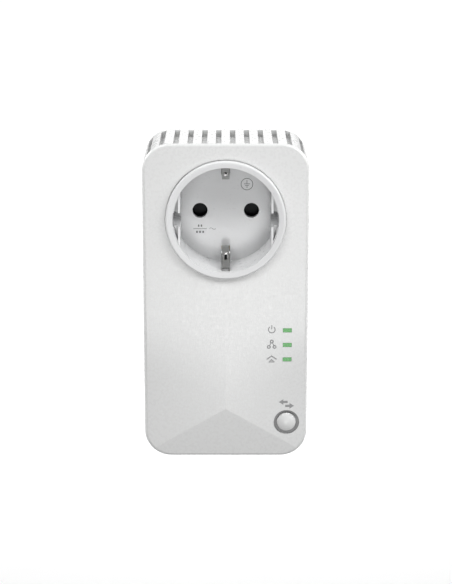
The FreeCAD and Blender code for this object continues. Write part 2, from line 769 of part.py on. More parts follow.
def draw_guide_pocket(item, side):
    """A circular segment between the guide's lip and the well's wall."""
    radius = S.well_radius.value - 0.35
    line_x = side * (S.guide_half.value + S.guide_lip.value)
    spread = math.acos(abs(line_x) / radius)
    circle = Part.Circle(Vector(0, 0, 0), Vector(0, 0, 1), radius)
    middle = 0 if side > 0 else math.pi
    arc = item.addGeometry(Part.ArcOfCircle(circle, middle - spread, middle + spread), False)
    reach = radius * math.sin(spread)
    top, low = (reach, -reach) if side > 0 else (-reach, reach)
    line = item.addGeometry(Part.LineSegment(Vector(line_x, top, 0), Vector(line_x, low, 0)), False)
    item.addConstraint(Sketcher.Constraint("Coincident", arc, 2, line, 1))
    item.addConstraint(Sketcher.Constraint("Coincident", line, 2, arc, 1))
    item.addConstraint(Sketcher.Constraint("Coincident", arc, 3, -1, 1))
    item.addConstraint(Sketcher.Constraint("Vertical", line))
    index = item.addConstraint(Sketcher.Constraint("Radius", arc, radius))
    bind(item, "Constraints[%d]" % index, S.well_radius - 0.35)
    index = item.addConstraint(Sketcher.Constraint("DistanceX", -1, 1, line, 1, line_x))
    bind(item, "Constraints[%d]" % index, (S.guide_half + S.guide_lip) * side)


def contact_carrier():
    body = new_body("contact_carrier")
    disc = front_sketch(body, "carrier_disc", CARRIER_BACK)
    draw_circle(disc, 0, 0, S.carrier_radius)
    pad(body, disc, S.carrier_depth)

    chambers = front_sketch(body, "contact_chambers", FLOOR_BACK - 1)
    slots = front_sketch(body, "carrier_clip_slots", FLOOR_BACK - 1)
    for side in (-1, 1):
        draw_box(chambers, PIN_X * side - S.chamber_width / 2, PIN_X * side + S.chamber_width / 2,
                 -S.chamber_height / 2, S.chamber_height / 2)
        low, high = sorted((side * (S.clip_slot_inner.value + 0.1), side * 20.0))
        draw_box(slots, -S.clip_slot_width / 2, S.clip_slot_width / 2, low, high)
    pocket(body, chambers, S.carrier_depth + 2)
    pocket(body, slots, S.carrier_depth + 2)

    recess = front_sketch(body, "shutter_recess", FLOOR_BACK - 1)
    half_width = S.shutter_half_width + S.shutter_gap
    top = S.shutter_half_height + S.shutter_travel + S.shutter_gap
    draw_box(recess, -half_width, half_width, -S.shutter_half_height - S.shutter_gap, top)
    pocket(body, recess, S.shutter_room + 1)

    seat = front_sketch(body, "spring_recess", FLOOR_BACK - 1)
    draw_box(seat, -1.5, 1.5, S.shutter_half_height, SPRING_TOP)
    pocket(body, seat, S.shutter_room + 1)

    ways = front_sketch(body, "pillar_ways", FLOOR_BACK - 1)
    bores = front_sketch(body, "screw_ways", FLOOR_BACK - 1)
    for side in (-1, 1):
        draw_circle(ways, S.carrier_screw_x * side, S.carrier_screw_z, 2.5)
        draw_circle(bores, S.carrier_screw_x * side, S.carrier_screw_z, 1.2)
    pocket(body, ways, 5.7)
    pocket(body, bores, S.carrier_depth + 2)
    keep("contact_carrier", body)


SPRING_TOP = S.clip_slot_inner - 0.8
SPRING_LOW = S.shutter_half_height * -0.35


def shutter():
    """A slide behind the pin holes. Its front slopes back towards the lower edge, so two pins push it up."""
    body = new_body("shutter")
    profile = new_sketch(body, "shutter_profile", "YZ_Plane", -S.shutter_half_width)
    front = FLOOR_BACK + S.shutter_gap
    back = front + S.shutter_thick
    draw_polygon(profile, [(front, S.shutter_half_height), (front + S.shutter_slope, -S.shutter_half_height),
                           (back, -S.shutter_half_height), (back, S.shutter_half_height)])
    pad(body, profile, S.shutter_half_width * 2)
    seat = front_sketch(body, "shutter_spring_seat", front - 1)
    draw_box(seat, -1.3, 1.3, SPRING_LOW, S.shutter_half_height + 1)
    pocket(body, seat, S.shutter_thick + 2)
    keep("shutter", body)

    pitch = (SPRING_TOP.value - SPRING_LOW.value - S.spring_wire.value) / S.spring_turns.value
    helix = Part.makeHelix(pitch, pitch * S.spring_turns.value, S.spring_radius.value)
    start = Vector(S.spring_radius.value, 0, 0)
    ring = Part.Wire([Part.makeCircle(S.spring_wire.value / 2, start, Vector(0, 1, 0))])
    coil = Part.Wire(helix).makePipeShell([ring], True, True)
    coil.translate(Vector(0, (FLOOR_BACK + S.shutter_room / 2).value, SPRING_LOW.value + S.spring_wire.value / 2))
    keep("shutter_spring", shaped("shutter_spring", coil))


def earth_clips():
    """Sprung strips: through the floor, in to the contact bend, then out towards the well's wall."""
    root = BRIDGE_BACK.value - S.strip_thick.value - 0.1
    floor = FLOOR_Y.value
    inner = S.clip_root_z.value
    path = [(root, inner), (floor - 0.6, inner), (floor - 4.0, inner - 1.2),
            (floor - 5.6, inner - 1.2), (floor - 11.0, inner + 2.4), (floor - 14.6, inner + 4.6)]
    for side, tag in ((1, "top"), (-1, "bottom")):
        points = [(y, side * z) for y, z in path]
        strip = bent_strip("clip_strip_" + tag, points, S.clip_thick.value, S.clip_width.value)
        low, high = sorted((side * (inner - 2), side * (inner + 6)))
        eye = box("clip_eye_" + tag, (-S.clip_eye / 2, S.clip_eye / 2), (FLOOR_Y - 11.2, FLOOR_Y - 8.4), (low, high))
        keep("earth_clip_" + tag, cut("earth_clip_" + tag, strip, [eye]))


def contacts():
    """U-shaped brass contacts, whose two leaves pinch a plug pin between them."""
    wide = S.contact_half_gap.value
    narrow = S.pinch_half_gap.value
    base = PIN_ROOT.value
    front = FLOOR_BACK.value + S.shutter_room.value + 0.4
    half = [(front, wide), (front + 3.2, narrow), (front + 5.6, narrow), (front + 13.5, wide), (base, wide)]
    path = half + [(y, -z) for y, z in reversed(half)]
    for side, tag in ((-1, "line"), (1, "neutral")):
        keep(tag + "_contact", bent_strip(tag + "_contact", path, S.contact_thick.value,
                                          S.contact_width.value, side * PIN_X.value))


def earth_bridge():
    front = BRIDGE_BACK - S.strip_thick
    reach = S.strip_outer - 0.9
    keep("earth_bridge", box("earth_bridge", (-S.strip_width / 2, S.strip_width / 2),
                             (front, BRIDGE_BACK), (-reach, reach)))


# ---------------------------------------------------------------- plug

def plug():
    for side, tag in ((-1, "line"), (1, "neutral")):
        body = new_body("plug_pin_" + tag)
        profile = new_sketch(body, "pin_profile_" + tag, "XY_Plane")
        tip = S.plug_pin_length
        draw_polygon(profile, [(0, PIN_ROOT), (S.pin_collar_radius, PIN_ROOT),
                               (S.pin_collar_radius, -S.boss_end_wall), (S.plug_pin_neck, -S.boss_end_wall),
                               (S.plug_pin_neck, S.plug_pin_neck - S.plug_pin_radius), (S.plug_pin_radius, 0),
                               (S.plug_pin_radius, tip), (0, tip)])
        revolve(body, profile)
        dress(body, "Fillet", "Radius", S.plug_pin_round,
              lambda edge: edge.BoundBox.YMin > S.plug_pin_length.value - 0.01)
        bind(body, "Placement.Base.x", PIN_X * side)
        keep("plug_pin_" + tag, body)
    outer, inner = S.strip_outer.value, STRIP_INNER.value
    for side, tag in ((1, "top"), (-1, "bottom")):
        low, high = sorted((side * inner, side * outer))
        rail = box("earth_rail_" + tag, (-S.strip_width / 2, S.strip_width / 2), (BRIDGE_BACK, -1.1), (low, high))
        foot_low, foot_high = sorted((side * (inner - 4.8), side * (inner + 0.1)))
        foot = box("earth_foot_" + tag, (-S.strip_width / 2, S.strip_width / 2),
                   (BRIDGE_BACK, BRIDGE_BACK + S.strip_thick), (foot_low, foot_high))
        keep("plug_earth_strip_" + tag, fuse("plug_earth_strip_" + tag, [rail, foot]))


# ---------------------------------------------------------------- controls and indicators

BUTTON_LEVEL = face_level(S.control_x.value, S.button_z.value)


def pair_button():
    """A domed cap on a wide flange, which rests on the switch's plunger."""
    body = new_body("pair_button")
    profile = new_sketch(body, "button_profile", "XY_Plane")
    flange_front = BUTTON_LEVEL + S.wall.value + 0.3
    plunger_end = S.board_front_y.value - S.switch_tall.value - 0.9
    rim = BUTTON_LEVEL + 0.15
    draw_polygon(profile, [(0, plunger_end - 0.03), (S.button_flange_radius, plunger_end - 0.03),
                           (S.button_flange_radius, flange_front), (S.button_radius, flange_front),
                           (S.button_radius, rim), (0, rim)])
    revolve(body, profile)
    dress(body, "Fillet", "Radius", 0.35,
          lambda edge: edge.BoundBox.YMax < rim + 0.01)
    bind(body, "Placement.Base.x", S.control_x)
    bind(body, "Placement.Base.z", S.button_z)
    dome = doc.addObject("Part::Sphere", "button_dome")
    crown = 1.0
    radius = (S.button_radius.value ** 2 + crown ** 2) / (2 * crown)
    dome.Radius = radius
    dome.Placement.Base = Vector(S.control_x.value, rim - crown + radius, S.button_z.value)
    cap = rod("button_cap", S.control_x, S.button_z, S.button_radius - 0.3, (Size(repr(rim - 2), rim - 2), rim + 0.2))
    top = common("button_crown", cap, dome)
    keep("pair_button", fuse("pair_button", [body, top]))


def button_bezel():
    """A thin grey washer on the floor of the button's dish."""
    floor = S.button_recess + BUTTON_LEVEL
    disc = rod("bezel_disc", S.control_x, S.button_z, S.button_recess_radius - 0.05, (floor - 0.3, floor))
    hole = rod("bezel_hole", S.control_x, S.button_z, S.button_hole_radius, (floor - 1, floor + 1))
    keep("button_bezel", cut("button_bezel", disc, [hole]))


def switch():
    half = S.switch_side / 2
    top = S.board_front_y - S.switch_tall
    case = box("switch_case", (S.control_x - half, S.control_x + half), (top, S.board_front_y),
               (S.button_z - half, S.button_z + half))
    room = rod("plunger_room", S.control_x, S.button_z, S.plunger_radius + 0.06,
               (top - 1, top + S.button_travel + 1.2))
    keep("switch_body", cut("switch_body", case, [room]))
    keep("switch_plunger", rod("switch_plunger", S.control_x, S.button_z, S.plunger_radius,
                               (top - 0.9, top + 0.5)))


def light_guide():
    """Three clear fingers on one bar, from the board's LEDs to the windows."""
    half = S.window_width / 2 - 0.08
    tall = S.window_tall / 2 - 0.08
    foot = S.board_front_y - 1.2
    fingers = []
    lights = []
    for number, level in enumerate(WINDOW_LEVELS):
        front = face_level(S.control_x.value, level.value) - 0.05
        fingers.append(box("guide_finger_%d" % number, (S.control_x - half, S.control_x + half),
                           (Size(repr(front), front), foot), (level - tall, level + tall)))
        lights.append(box("led_chip_%d" % number, (S.control_x - 0.8, S.control_x + 0.8),
                          (S.board_front_y - 0.7, S.board_front_y), (level - 0.4, level + 0.4)))
    bar = box("guide_bar", (S.control_x - half, S.control_x + half), (foot - 2.2, foot - 0.7),
              (WINDOW_LEVELS[2] - tall, WINDOW_LEVELS[0] + tall))
    keep("light_guide", fuse("light_guide", fingers + [bar]))
    keep("status_leds", group("status_leds", lights))


# ---------------------------------------------------------------- board and electronics

def main_board():
    body = new_body("main_board")
    outline = front_sketch(body, "board_outline", BOARD_BACK)
    side = S.board_half_width
    notch_x, notch_z = 20.9, -81.3
    draw_polygon(outline, [(-notch_x, S.board_bottom), (notch_x, S.board_bottom), (notch_x, notch_z),
                           (side, notch_z), (side, S.board_top), (-side, S.board_top),
                           (-side, notch_z), (-notch_x, notch_z)])
    pad(body, outline, S.board_thick)
    bores = front_sketch(body, "board_bores", S.board_front_y - 1)
    for x, z in BOARD_POST_SPOTS:
        draw_circle(bores, x, z, S.screw_radius)
    pocket(body, bores, S.board_thick + 2)
    keep("main_board", body)


def on_board(name, x, z, wide, tall, high, lift=0.0):
    """A block on the back of the board, centred at x, z."""
    return box(name, (as_size(x - wide / 2), as_size(x + wide / 2)),
               (BOARD_BACK + lift, BOARD_BACK + lift + high), (as_size(z - tall / 2), as_size(z + tall / 2)))


def can(name, x, z, radius, high):
    """An electrolytic can standing on the board, its rim rounded and its foot rolled in."""
    body = rod(name + "_can", x, z, radius, (BOARD_BACK, BOARD_BACK + high))
    waist = doc.addObject("Part::Torus", name + "_waist")
    waist.Radius1 = radius + 0.25
    waist.Radius2 = 0.6
    waist.Placement = Placement(Vector(x, BOARD_BACK.value + 1.6, z), Rotation(Vector(1, 0, 0), -90))
    return cut(name, body, [waist])


def choke_ring(middle_y, gap):
    """The choke's toroidal core, grown by a gap on every side."""
    half = 2.3 + gap
    ring = Part.makeCylinder(5.4 + gap, 2 * half, Vector(-19.5, middle_y - half, -47.0), Vector(0, 1, 0))
    return ring.cut(Part.makeCylinder(3.0 - gap, 8, Vector(-19.5, middle_y - 4, -47.0), Vector(0, 1, 0)))


def mains_parts():
    keep("mains_fuse", rod("mains_fuse", 0, -30.0, 4.0, (BOARD_BACK, BOARD_BACK + 7.5)))
    disc = doc.addObject("Part::Cylinder", "varistor")
    disc.Radius = 5.0
    disc.Height = 4.0
    disc.Placement = Placement(Vector(14.6, BOARD_BACK.value + 5.6, -31.0), Rotation(Vector(0, 1, 0), 90))
    keep("varistor", disc)
    keep("x_capacitor", on_board("x_capacitor", -19.0, -36.0, 13.0, 6.5, 11.5))
    keep("y_capacitor", on_board("y_capacitor", -19.5, -79.5, 7.5, 3.0, 8.0))
    middle_y = BOARD_BACK.value + 4.2
    core, room = (choke_ring(middle_y, gap) for gap in (0, 0.05))
    keep("choke_core", shaped("choke_core", core))
    coils = []
    for start in (20, 200):
        profile = plane_facet([Vector(2.2, -3.4, 0), Vector(6.2, -3.4, 0), Vector(6.2, 3.4, 0), Vector(2.2, 3.4, 0)])
        coil = profile.revolve(Vector(0, 0, 0), Vector(0, 1, 0), 140)
        coil.rotate(Vector(0, 0, 0), Vector(0, 1, 0), start)
        coil.translate(Vector(-19.5, middle_y, -47.0))
        coils.append(coil.cut(room))
    keep("choke_windings", shaped("choke_windings", Part.makeCompound(coils)))
    keep("rectifier", on_board("rectifier", -24.0, -57.0, 4.2, 5.0, 2.4))
    keep("bulk_capacitors", group("bulk_capacitors", [can("bulk_can_0", -4.5, -41.0, 5.0, 14.0),
                                                      can("bulk_can_1", -4.5, -52.4, 5.0, 14.0)]))
    keep("output_capacitors", group("output_capacitors", [can("output_can_0", 23.0, -61.5, 3.15, 10.0),
                                                          can("output_can_1", 23.0, -68.5, 3.15, 10.0)]))
    keep("optocoupler", on_board("optocoupler", 3.6, -61.0, 4.6, 6.4, 3.4))


def transformer():
    """A flyback transformer: ferrite core round a wound bobbin."""
    x, z = 14.0, -46.0
    shell = on_board("core_block", x, z, 17.0, 16.4, 10.0, 2.2)
    windows = [on_board("core_window_%d" % side, x, z + side * 4.9, 20.0, 4.4, 6.0, 4.2) for side in (-1, 1)]
    keep("transformer_core", cut("transformer_core", shell, windows))
    turns = [on_board("winding_%d" % side, x, z + side * 4.9, 12.0, 4.0, 5.6, 4.4) for side in (-1, 1)]
    keep("transformer_winding", group("transformer_winding", turns))
    keep("transformer_bobbin", on_board("transformer_bobbin", x, z, 14.0, 15.0, 2.2))


def digital_parts():
    keep("main_chip", on_board("main_chip", -12.0, -65.0, 13.0, 13.0, 1.3))
    plate = on_board("sink_plate", -12.0, -65.0, 15.0, 14.0, 1.6, 1.3)
    fins = [on_board("sink_fin_%d" % number, -18.9 + 2.3 * number, -65.0, 1.2, 14.0, 6.4, 2.8)
            for number in range(7)]
    keep("heat_sink", fuse("heat_sink", [plate] + fins))
    keep("memory_chip", on_board("memory_chip", 12.0, -62.0, 8.0, 9.0, 1.1))
    keep("crystal", on_board("crystal", 14.4, -70.4, 10.6, 4.2, 3.4))
    keep("coupling_transformer", on_board("coupling_transformer", 14.6, -78.6, 8.0, 8.4, 7.0))
    keep("network_transformer", on_board("network_transformer", 2.4, -70.2, 12.4, 6.6, 5.0))


def network_jack():
    """A network jack whose port opens through the bottom wall."""
    end = S.body_bottom + 0.4
    inner = end + S.jack_length
    side = S.jack_half_width
    high = BOARD_BACK + S.jack_tall
    skin = S.shield_thick
    shell = box("shield_block", (-side, side), (BOARD_BACK, high), (end, inner))
    core = box("shield_room", (-side + skin, side - skin), (BOARD_BACK - 1, high - skin), (end - 1, inner - skin))
    keep("jack_shield", cut("jack_shield", shell, [core]))

    block = box("jack_block", (-side + skin, side - skin), (BOARD_BACK, high - skin), (end + 0.3, inner - skin))
    port_low = BOARD_BACK + 2.6
    port = box("jack_port", (-S.port_width / 2, S.port_width / 2), (port_low, port_low + S.port_tall),
               (end - 1, inner - 2.6))
    latch = box("jack_latch_room", (-3.2, 3.2), (port_low + S.port_tall - 0.5, port_low + S.port_tall + 2.6),
                (end - 1, inner - 5.0))
    keep("network_jack", cut("network_jack", block, [port, latch]))

    springs = []
    for number in range(8):
        x = (number - 3.5) * 1.02
        path = [(BOARD_BACK.value + 2.6, end.value + 3.2), (BOARD_BACK.value + 4.6, inner.value - 4.4),
                (BOARD_BACK.value + 2.6, inner.value - 3.2)]
        springs.append(bent_strip("jack_spring_%d" % number, path, 0.3, 0.45, x))
    keep("jack_contacts", group("jack_contacts", springs))


def supply_wires():
    """Insulated leads from the contacts' outer leaves down to the board."""
    lead_y = (PLATE_Y.value + CARRIER_BACK.value) / 2
    start_z = -S.contact_half_gap.value - S.contact_thick.value
    for side, tag in ((-1, "line"), (1, "neutral")):
        x = side * PIN_X.value
        points = [(x, -11.0, start_z), (x, -11.0, -7.4), (x, lead_y, -9.8), (x, lead_y, -22.5),
                  (x, -32.0, -29.5), (x, BOARD_BACK.value, -29.5)]
        keep(tag + "_wire", wire_run(tag + "_wire", points, S.wire_radius.value))


def check_and_write():
    doc.recompute()
    for item in doc.Objects:
        if "Invalid" in item.State or "Error" in item.State:
            raise RuntimeError("%s is %s" % (item.Label, item.State))
    for label, item in NODES.items():
        shape = item.Shape
        if shape.isNull() or not shape.isValid() or not shape.Solids:
            raise RuntimeError("bad shape: " + label)
    os.makedirs("parts", exist_ok=True)
    for label, item in NODES.items():
        item.Shape.exportStep("parts/%s.step" % label)
        print("%-28s %9.1f mm3 %d" % (label, item.Shape.Volume, len(item.Shape.Solids)))


front_cover()
rear_cover()
screws()
socket_insert()
contact_carrier()
shutter()
earth_clips()
contacts()
earth_bridge()
plug()
pair_button()
button_bezel()
switch()
light_guide()
main_board()
mains_parts()
transformer()
digital_parts()
network_jack()
supply_wires()
check_and_write()
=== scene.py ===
import json
import math

import bmesh
import bpy
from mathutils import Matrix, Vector
from mathutils.bvhtree import BVHTree


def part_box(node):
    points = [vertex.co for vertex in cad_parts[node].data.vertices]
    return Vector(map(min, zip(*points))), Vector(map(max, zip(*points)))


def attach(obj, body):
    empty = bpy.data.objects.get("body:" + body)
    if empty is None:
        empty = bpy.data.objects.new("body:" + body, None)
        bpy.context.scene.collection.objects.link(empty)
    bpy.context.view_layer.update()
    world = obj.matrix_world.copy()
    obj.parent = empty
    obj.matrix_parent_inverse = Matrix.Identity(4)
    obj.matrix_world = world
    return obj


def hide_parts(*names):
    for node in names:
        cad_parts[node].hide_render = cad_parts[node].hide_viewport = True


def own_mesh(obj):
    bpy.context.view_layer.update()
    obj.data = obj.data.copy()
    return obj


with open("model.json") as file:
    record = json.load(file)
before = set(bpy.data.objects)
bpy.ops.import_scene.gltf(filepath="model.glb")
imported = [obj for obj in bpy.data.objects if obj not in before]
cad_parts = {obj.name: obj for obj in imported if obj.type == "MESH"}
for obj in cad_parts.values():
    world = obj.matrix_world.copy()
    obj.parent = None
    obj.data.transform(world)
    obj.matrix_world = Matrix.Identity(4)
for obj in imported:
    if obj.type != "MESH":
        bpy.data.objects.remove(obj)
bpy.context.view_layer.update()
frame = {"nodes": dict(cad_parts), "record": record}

MM = 0.001


# ---------------------------------------------------------------- places read from the frame

def middle(node):
    """The middle of a CAD node's box."""
    low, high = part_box(node)
    return [(a + b) / 2 for a, b in zip(low, high)]


FRONT_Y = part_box("front_cover")[0][1]
BODY_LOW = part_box("front_cover")[0][2]
BODY_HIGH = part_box("front_cover")[1][2]
FRONT_MIDDLE = Vector((0, FRONT_Y, (BODY_LOW + BODY_HIGH) / 2))
BUTTON = middle("pair_button")
GUIDE_LOW, GUIDE_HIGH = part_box("light_guide")
GUIDE_X = (GUIDE_LOW[0] + GUIDE_HIGH[0]) / 2
WINDOW_HALF = 0.72 * MM
WINDOW_TOP = GUIDE_HIGH[2] - WINDOW_HALF
WINDOW_STEP = (GUIDE_HIGH[2] - GUIDE_LOW[2] - 2 * WINDOW_HALF) / 2


# ---------------------------------------------------------------- node materials

FLOW_CELLS = 60
GLOSS_CELLS = 900
# How far the painted shade in corners reaches.
CORNER_REACH = 9 * MM


def new_material(name):
    """A material with its node tree and its shader."""
    material = bpy.data.materials.new(name)
    material.use_nodes = True
    shader = material.node_tree.nodes["Principled BSDF"]
    return material, material.node_tree, shader


def place_coordinates(tree):
    return tree.nodes.new("ShaderNodeTexCoord").outputs["Object"]


def noise(tree, scale, detail=2.0, stretch=None):
    """Noise in the frame's own metres, as a value from 0 to 1."""
    node = tree.nodes.new("ShaderNodeTexNoise")
    node.inputs["Scale"].default_value = scale
    node.inputs["Detail"].default_value = detail
    node.inputs["Roughness"].default_value = 0.5
    source = place_coordinates(tree)
    if stretch:
        mapping = tree.nodes.new("ShaderNodeMapping")
        mapping.inputs["Scale"].default_value = stretch
        tree.links.new(source, mapping.inputs["Vector"])
        source = mapping.outputs["Vector"]
    tree.links.new(source, node.inputs["Vector"])
    return node.outputs["Fac"]


def spread(tree, factor, low, high):
    """Turn a 0 to 1 value into one between low and high."""
    node = tree.nodes.new("ShaderNodeMapRange")
    node.inputs["From Min"].default_value = 0.25
    node.inputs["From Max"].default_value = 0.75
    node.inputs["To Min"].default_value = low
    node.inputs["To Max"].default_value = high
    tree.links.new(factor, node.inputs["Value"])
    return node.outputs["Result"]


def tint(tree, factor, dark, light):
    """Mix two colours by a 0 to 1 value."""
    node = tree.nodes.new("ShaderNodeMix")
    node.data_type = "RGBA"
    node.inputs["A"].default_value = (*dark, 1)
    node.inputs["B"].default_value = (*light, 1)
    tree.links.new(factor, node.inputs["Factor"])
    return node.outputs["Result"]


def bump(tree, shader, height, distance):
    """Raise the surface by a height texture, without moving it."""
    node = tree.nodes.new("ShaderNodeBump")
    node.inputs["Distance"].default_value = distance
    node.inputs["Strength"].default_value = 1.0
    tree.links.new(height, node.inputs["Height"])
    tree.links.new(node.outputs["Normal"], shader.inputs["Normal"])


def shades(colour, amount):
    """A darker and a lighter version of a colour."""
    return [c * (1 - amount) for c in colour], [min(1, c * (1 + amount)) for c in colour]


def painted_corner_shade(tree, shade, amount):
    """Painted shade: darken a colour inside corners, grooves and recesses, where shade falls, as far as an
    ambient occlusion node finds them closed in.
    """
    openness = tree.nodes.new("ShaderNodeAmbientOcclusion")
    openness.samples = 8
    openness.inputs["Distance"].default_value = CORNER_REACH
    level = tree.nodes.new("ShaderNodeMapRange")
    level.inputs["From Min"].default_value = 0.35
    level.inputs["From Max"].default_value = 0.85
    level.inputs["To Min"].default_value = 1 - amount
    level.inputs["To Max"].default_value = 1
    tree.links.new(openness.outputs["AO"], level.inputs["Value"])
    scaled = tree.nodes.new("ShaderNodeVectorMath")
    scaled.operation = "SCALE"
    tree.links.new(shade, scaled.inputs[0])
    tree.links.new(level.outputs["Result"], scaled.inputs["Scale"])
    return scaled.outputs["Vector"]


def moulded(name, colour, rough=0.42, grain=0.004, cell=9000, specular=0.5, drift=0.012, corners=0):
    """Moulded plastic: spark-eroded grain, faint flow shading and uneven gloss, with painted shade in its
    corners when corners is above zero.
    """
    material, tree, shader = new_material(name)
    dark, light = shades(colour, drift)
    shade = tint(tree, noise(tree, FLOW_CELLS, 3), dark, light)
    # painted shade: the colour darkens in corners, grooves and recesses
    if corners:
        shade = painted_corner_shade(tree, shade, corners)
    tree.links.new(shade, shader.inputs["Base Color"])
    gloss = spread(tree, noise(tree, GLOSS_CELLS, 2), rough - 0.04, rough + 0.04)
    tree.links.new(gloss, shader.inputs["Roughness"])
    shader.inputs["Specular IOR Level"].default_value = specular
    bump(tree, shader, noise(tree, cell, 2), grain * MM)
    return material


def plated(name, colour, rough=0.25, stretch=(1, 1, 1)):
    """Plated or drawn metal: fine lines along the piece and patches of duller plating."""
    material, tree, shader = new_material(name)
    dark, light = shades(colour, 0.08)
    tree.links.new(tint(tree, noise(tree, 250, 4), dark, light), shader.inputs["Base Color"])
    gloss = spread(tree, noise(tree, 1500, 3, stretch), rough - 0.07, rough + 0.12)
    tree.links.new(gloss, shader.inputs["Roughness"])
    shader.inputs["Metallic"].default_value = 1.0
    bump(tree, shader, noise(tree, 3500, 2, stretch), 0.002 * MM)
    return material


def lit_window(name, colour, glow):
    """Clear plastic lit from behind, its colour and glow uneven in random patches."""
    material, tree, shader = new_material(name)
    dark, light = shades(colour, 0.15)
    shade = tint(tree, noise(tree, 700, 2), dark, light)
    tree.links.new(shade, shader.inputs["Base Color"])
    tree.links.new(shade, shader.inputs["Emission Color"])
    shader.inputs["Emission Strength"].default_value = glow
    shader.inputs["Roughness"].default_value = 0.28
    return material


def ink(name, colour):
    """Pad-printed ink, slightly uneven at its edges."""
    material, tree, shader = new_material(name)
    dark, light = shades(colour, 0.06)
    tree.links.new(tint(tree, noise(tree, 4000, 2), dark, light), shader.inputs["Base Color"])
    shader.inputs["Roughness"].default_value = 0.55
    bump(tree, shader, noise(tree, 9000, 1), 0.002 * MM)
    return material


MATERIALS = {
    # The shell's vents and the socket's well get painted shade in their corners through corners=.
    "white_shell": moulded("shell_white", (0.845, 0.85, 0.845), 0.28, 0.0003, drift=0.006, corners=0.26),
    "socket_white": moulded("socket_white", (0.89, 0.895, 0.90), 0.30, 0.0015, corners=0.3),
    "button_white": moulded("button_white", (0.88, 0.885, 0.88), 0.30, 0.001),
    "label_film": moulded("label_film", (0.72, 0.72, 0.71), 0.55, 0.002, 3000),
    "steel_screws": plated("steel_screws", (0.48, 0.48, 0.50), 0.32),
    "carrier_plastic": moulded("carrier_plastic", (0.10, 0.105, 0.11), 0.5, 0.004),
    "shutter_black": moulded("shutter_black", (0.010, 0.0105, 0.012), 0.6, 0.003, specular=0.25),
    "spring_steel": plated("spring_steel", (0.55, 0.55, 0.55), 0.3),
    "nickel_strip": plated("nickel_strip", (0.50, 0.50, 0.49), 0.34, (1, 0.1, 1)),
    "contact_brass": plated("contact_brass", (0.78, 0.58, 0.26), 0.3, (1, 0.1, 1)),
    "nickel_pin": plated("nickel_pin", (0.74, 0.73, 0.70), 0.2, (1, 0.05, 1)),
    "bezel_grey": moulded("bezel_grey", (0.34, 0.34, 0.345), 0.45),
    "switch_black": moulded("switch_black", (0.03, 0.03, 0.03), 0.45),
    "green_window": lit_window("green_window", (0.035, 0.30, 0.04), 0.25),
    "led_body": lit_window("led_body", (0.45, 0.95, 0.40), 3.0),
    "board_green": moulded("board_green", (0.02, 0.13, 0.05), 0.35, 0.01, 2500, drift=0.15),
    "fuse_brown": moulded("fuse_brown", (0.11, 0.05, 0.03), 0.4),
    "varistor_blue": moulded("varistor_blue", (0.03, 0.09, 0.30), 0.3, 0.02, 700, drift=0.08),
    "film_capacitor": moulded("film_capacitor", (0.62, 0.48, 0.05), 0.45),
    "ferrite": moulded("ferrite", (0.045, 0.045, 0.05), 0.6, 0.015, 3000, drift=0.2),
    "copper_wire": plated("copper_wire", (0.62, 0.24, 0.09), 0.25, (1, 8, 1)),
    "chip_black": moulded("chip_black", (0.022, 0.022, 0.025), 0.55, 0.006, 5000, drift=0.1),
    "can_sleeve": moulded("can_sleeve", (0.02, 0.025, 0.06), 0.25),
    "winding_tape": moulded("winding_tape", (0.68, 0.45, 0.04), 0.3, 0.01, 900, drift=0.06),
    "bobbin_black": moulded("bobbin_black", (0.03, 0.03, 0.03), 0.5),
    "sink_aluminium": plated("sink_aluminium", (0.68, 0.69, 0.70), 0.35, (1, 1, 0.05)),
    "crystal_steel": plated("crystal_steel", (0.68, 0.68, 0.68), 0.22),
    "jack_plastic": moulded("jack_plastic", (0.03, 0.03, 0.033), 0.42),
    "jack_steel": plated("jack_steel", (0.62, 0.62, 0.62), 0.3, (0.1, 1, 1)),
    "jack_gold": plated("jack_gold", (0.90, 0.66, 0.24), 0.22),
    "wire_brown": moulded("wire_brown", (0.12, 0.05, 0.02), 0.4),
    "wire_blue": moulded("wire_blue", (0.02, 0.08, 0.36), 0.4),
}


def paint_cad():
    """Give every CAD node the node material of its record slot."""
    slots = {entry["node"]: entry["material_slot"] for entry in frame["record"]["subparts"]}
    for node, piece in frame["nodes"].items():
        for place in piece.material_slots:
            place.link = "OBJECT"
            place.material = MATERIALS[slots[node]]


# ---------------------------------------------------------------- the spring that the shutter squeezes

COIL_TURNS = 9
COIL_STEPS = 24
WIRE_SIDES = 8
WIRE_RADIUS = 0.15 * MM


def coil_mesh(low, high):
    """A round wire wound upwards inside the box from low to high."""
    radius = (high[0] - low[0]) / 2 - WIRE_RADIUS
    centre = middle("shutter_spring")
    count = COIL_TURNS * COIL_STEPS
    climb = (high[2] - low[2] - 2 * WIRE_RADIUS) / count
    up = Vector((0, 0, 1))
    mesh = bmesh.new()
    rings = []
    for number in range(count + 1):
        angle = math.tau * number / COIL_STEPS
        outward = Vector((math.cos(angle), math.sin(angle), 0))
        spot = Vector((centre[0], centre[1], low[2] + WIRE_RADIUS + climb * number)) + radius * outward
        ring = []
        for side in range(WIRE_SIDES):
            turn = math.tau * side / WIRE_SIDES
            ring.append(mesh.verts.new(spot + WIRE_RADIUS * (math.cos(turn) * outward + math.sin(turn) * up)))
        rings.append(ring)
    for here, there in zip(rings, rings[1:]):
        for side in range(WIRE_SIDES):
            after = (side + 1) % WIRE_SIDES
            mesh.faces.new((here[side], there[side], there[after], here[after])).smooth = True
    mesh.faces.new(rings[0])
    mesh.faces.new(rings[-1])
    bmesh.ops.recalc_face_normals(mesh, faces=mesh.faces)
    return mesh


def shutter_coil():
    """The coil over the shutter, wound inside the CAD spring's box and fixed to the adapter in its place."""
    low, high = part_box("shutter_spring")
    mesh = coil_mesh(low, high)
    data = bpy.data.meshes.new("shutter_coil")
    mesh.to_mesh(data)
    mesh.free()
    data.materials.append(MATERIALS["spring_steel"])
    coil = bpy.data.objects.new("shutter_coil", data)
    bpy.context.scene.collection.objects.link(coil)
    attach(coil, "adapter")
    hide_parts("shutter_spring")
    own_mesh(coil)


# ---------------------------------------------------------------- printed symbols

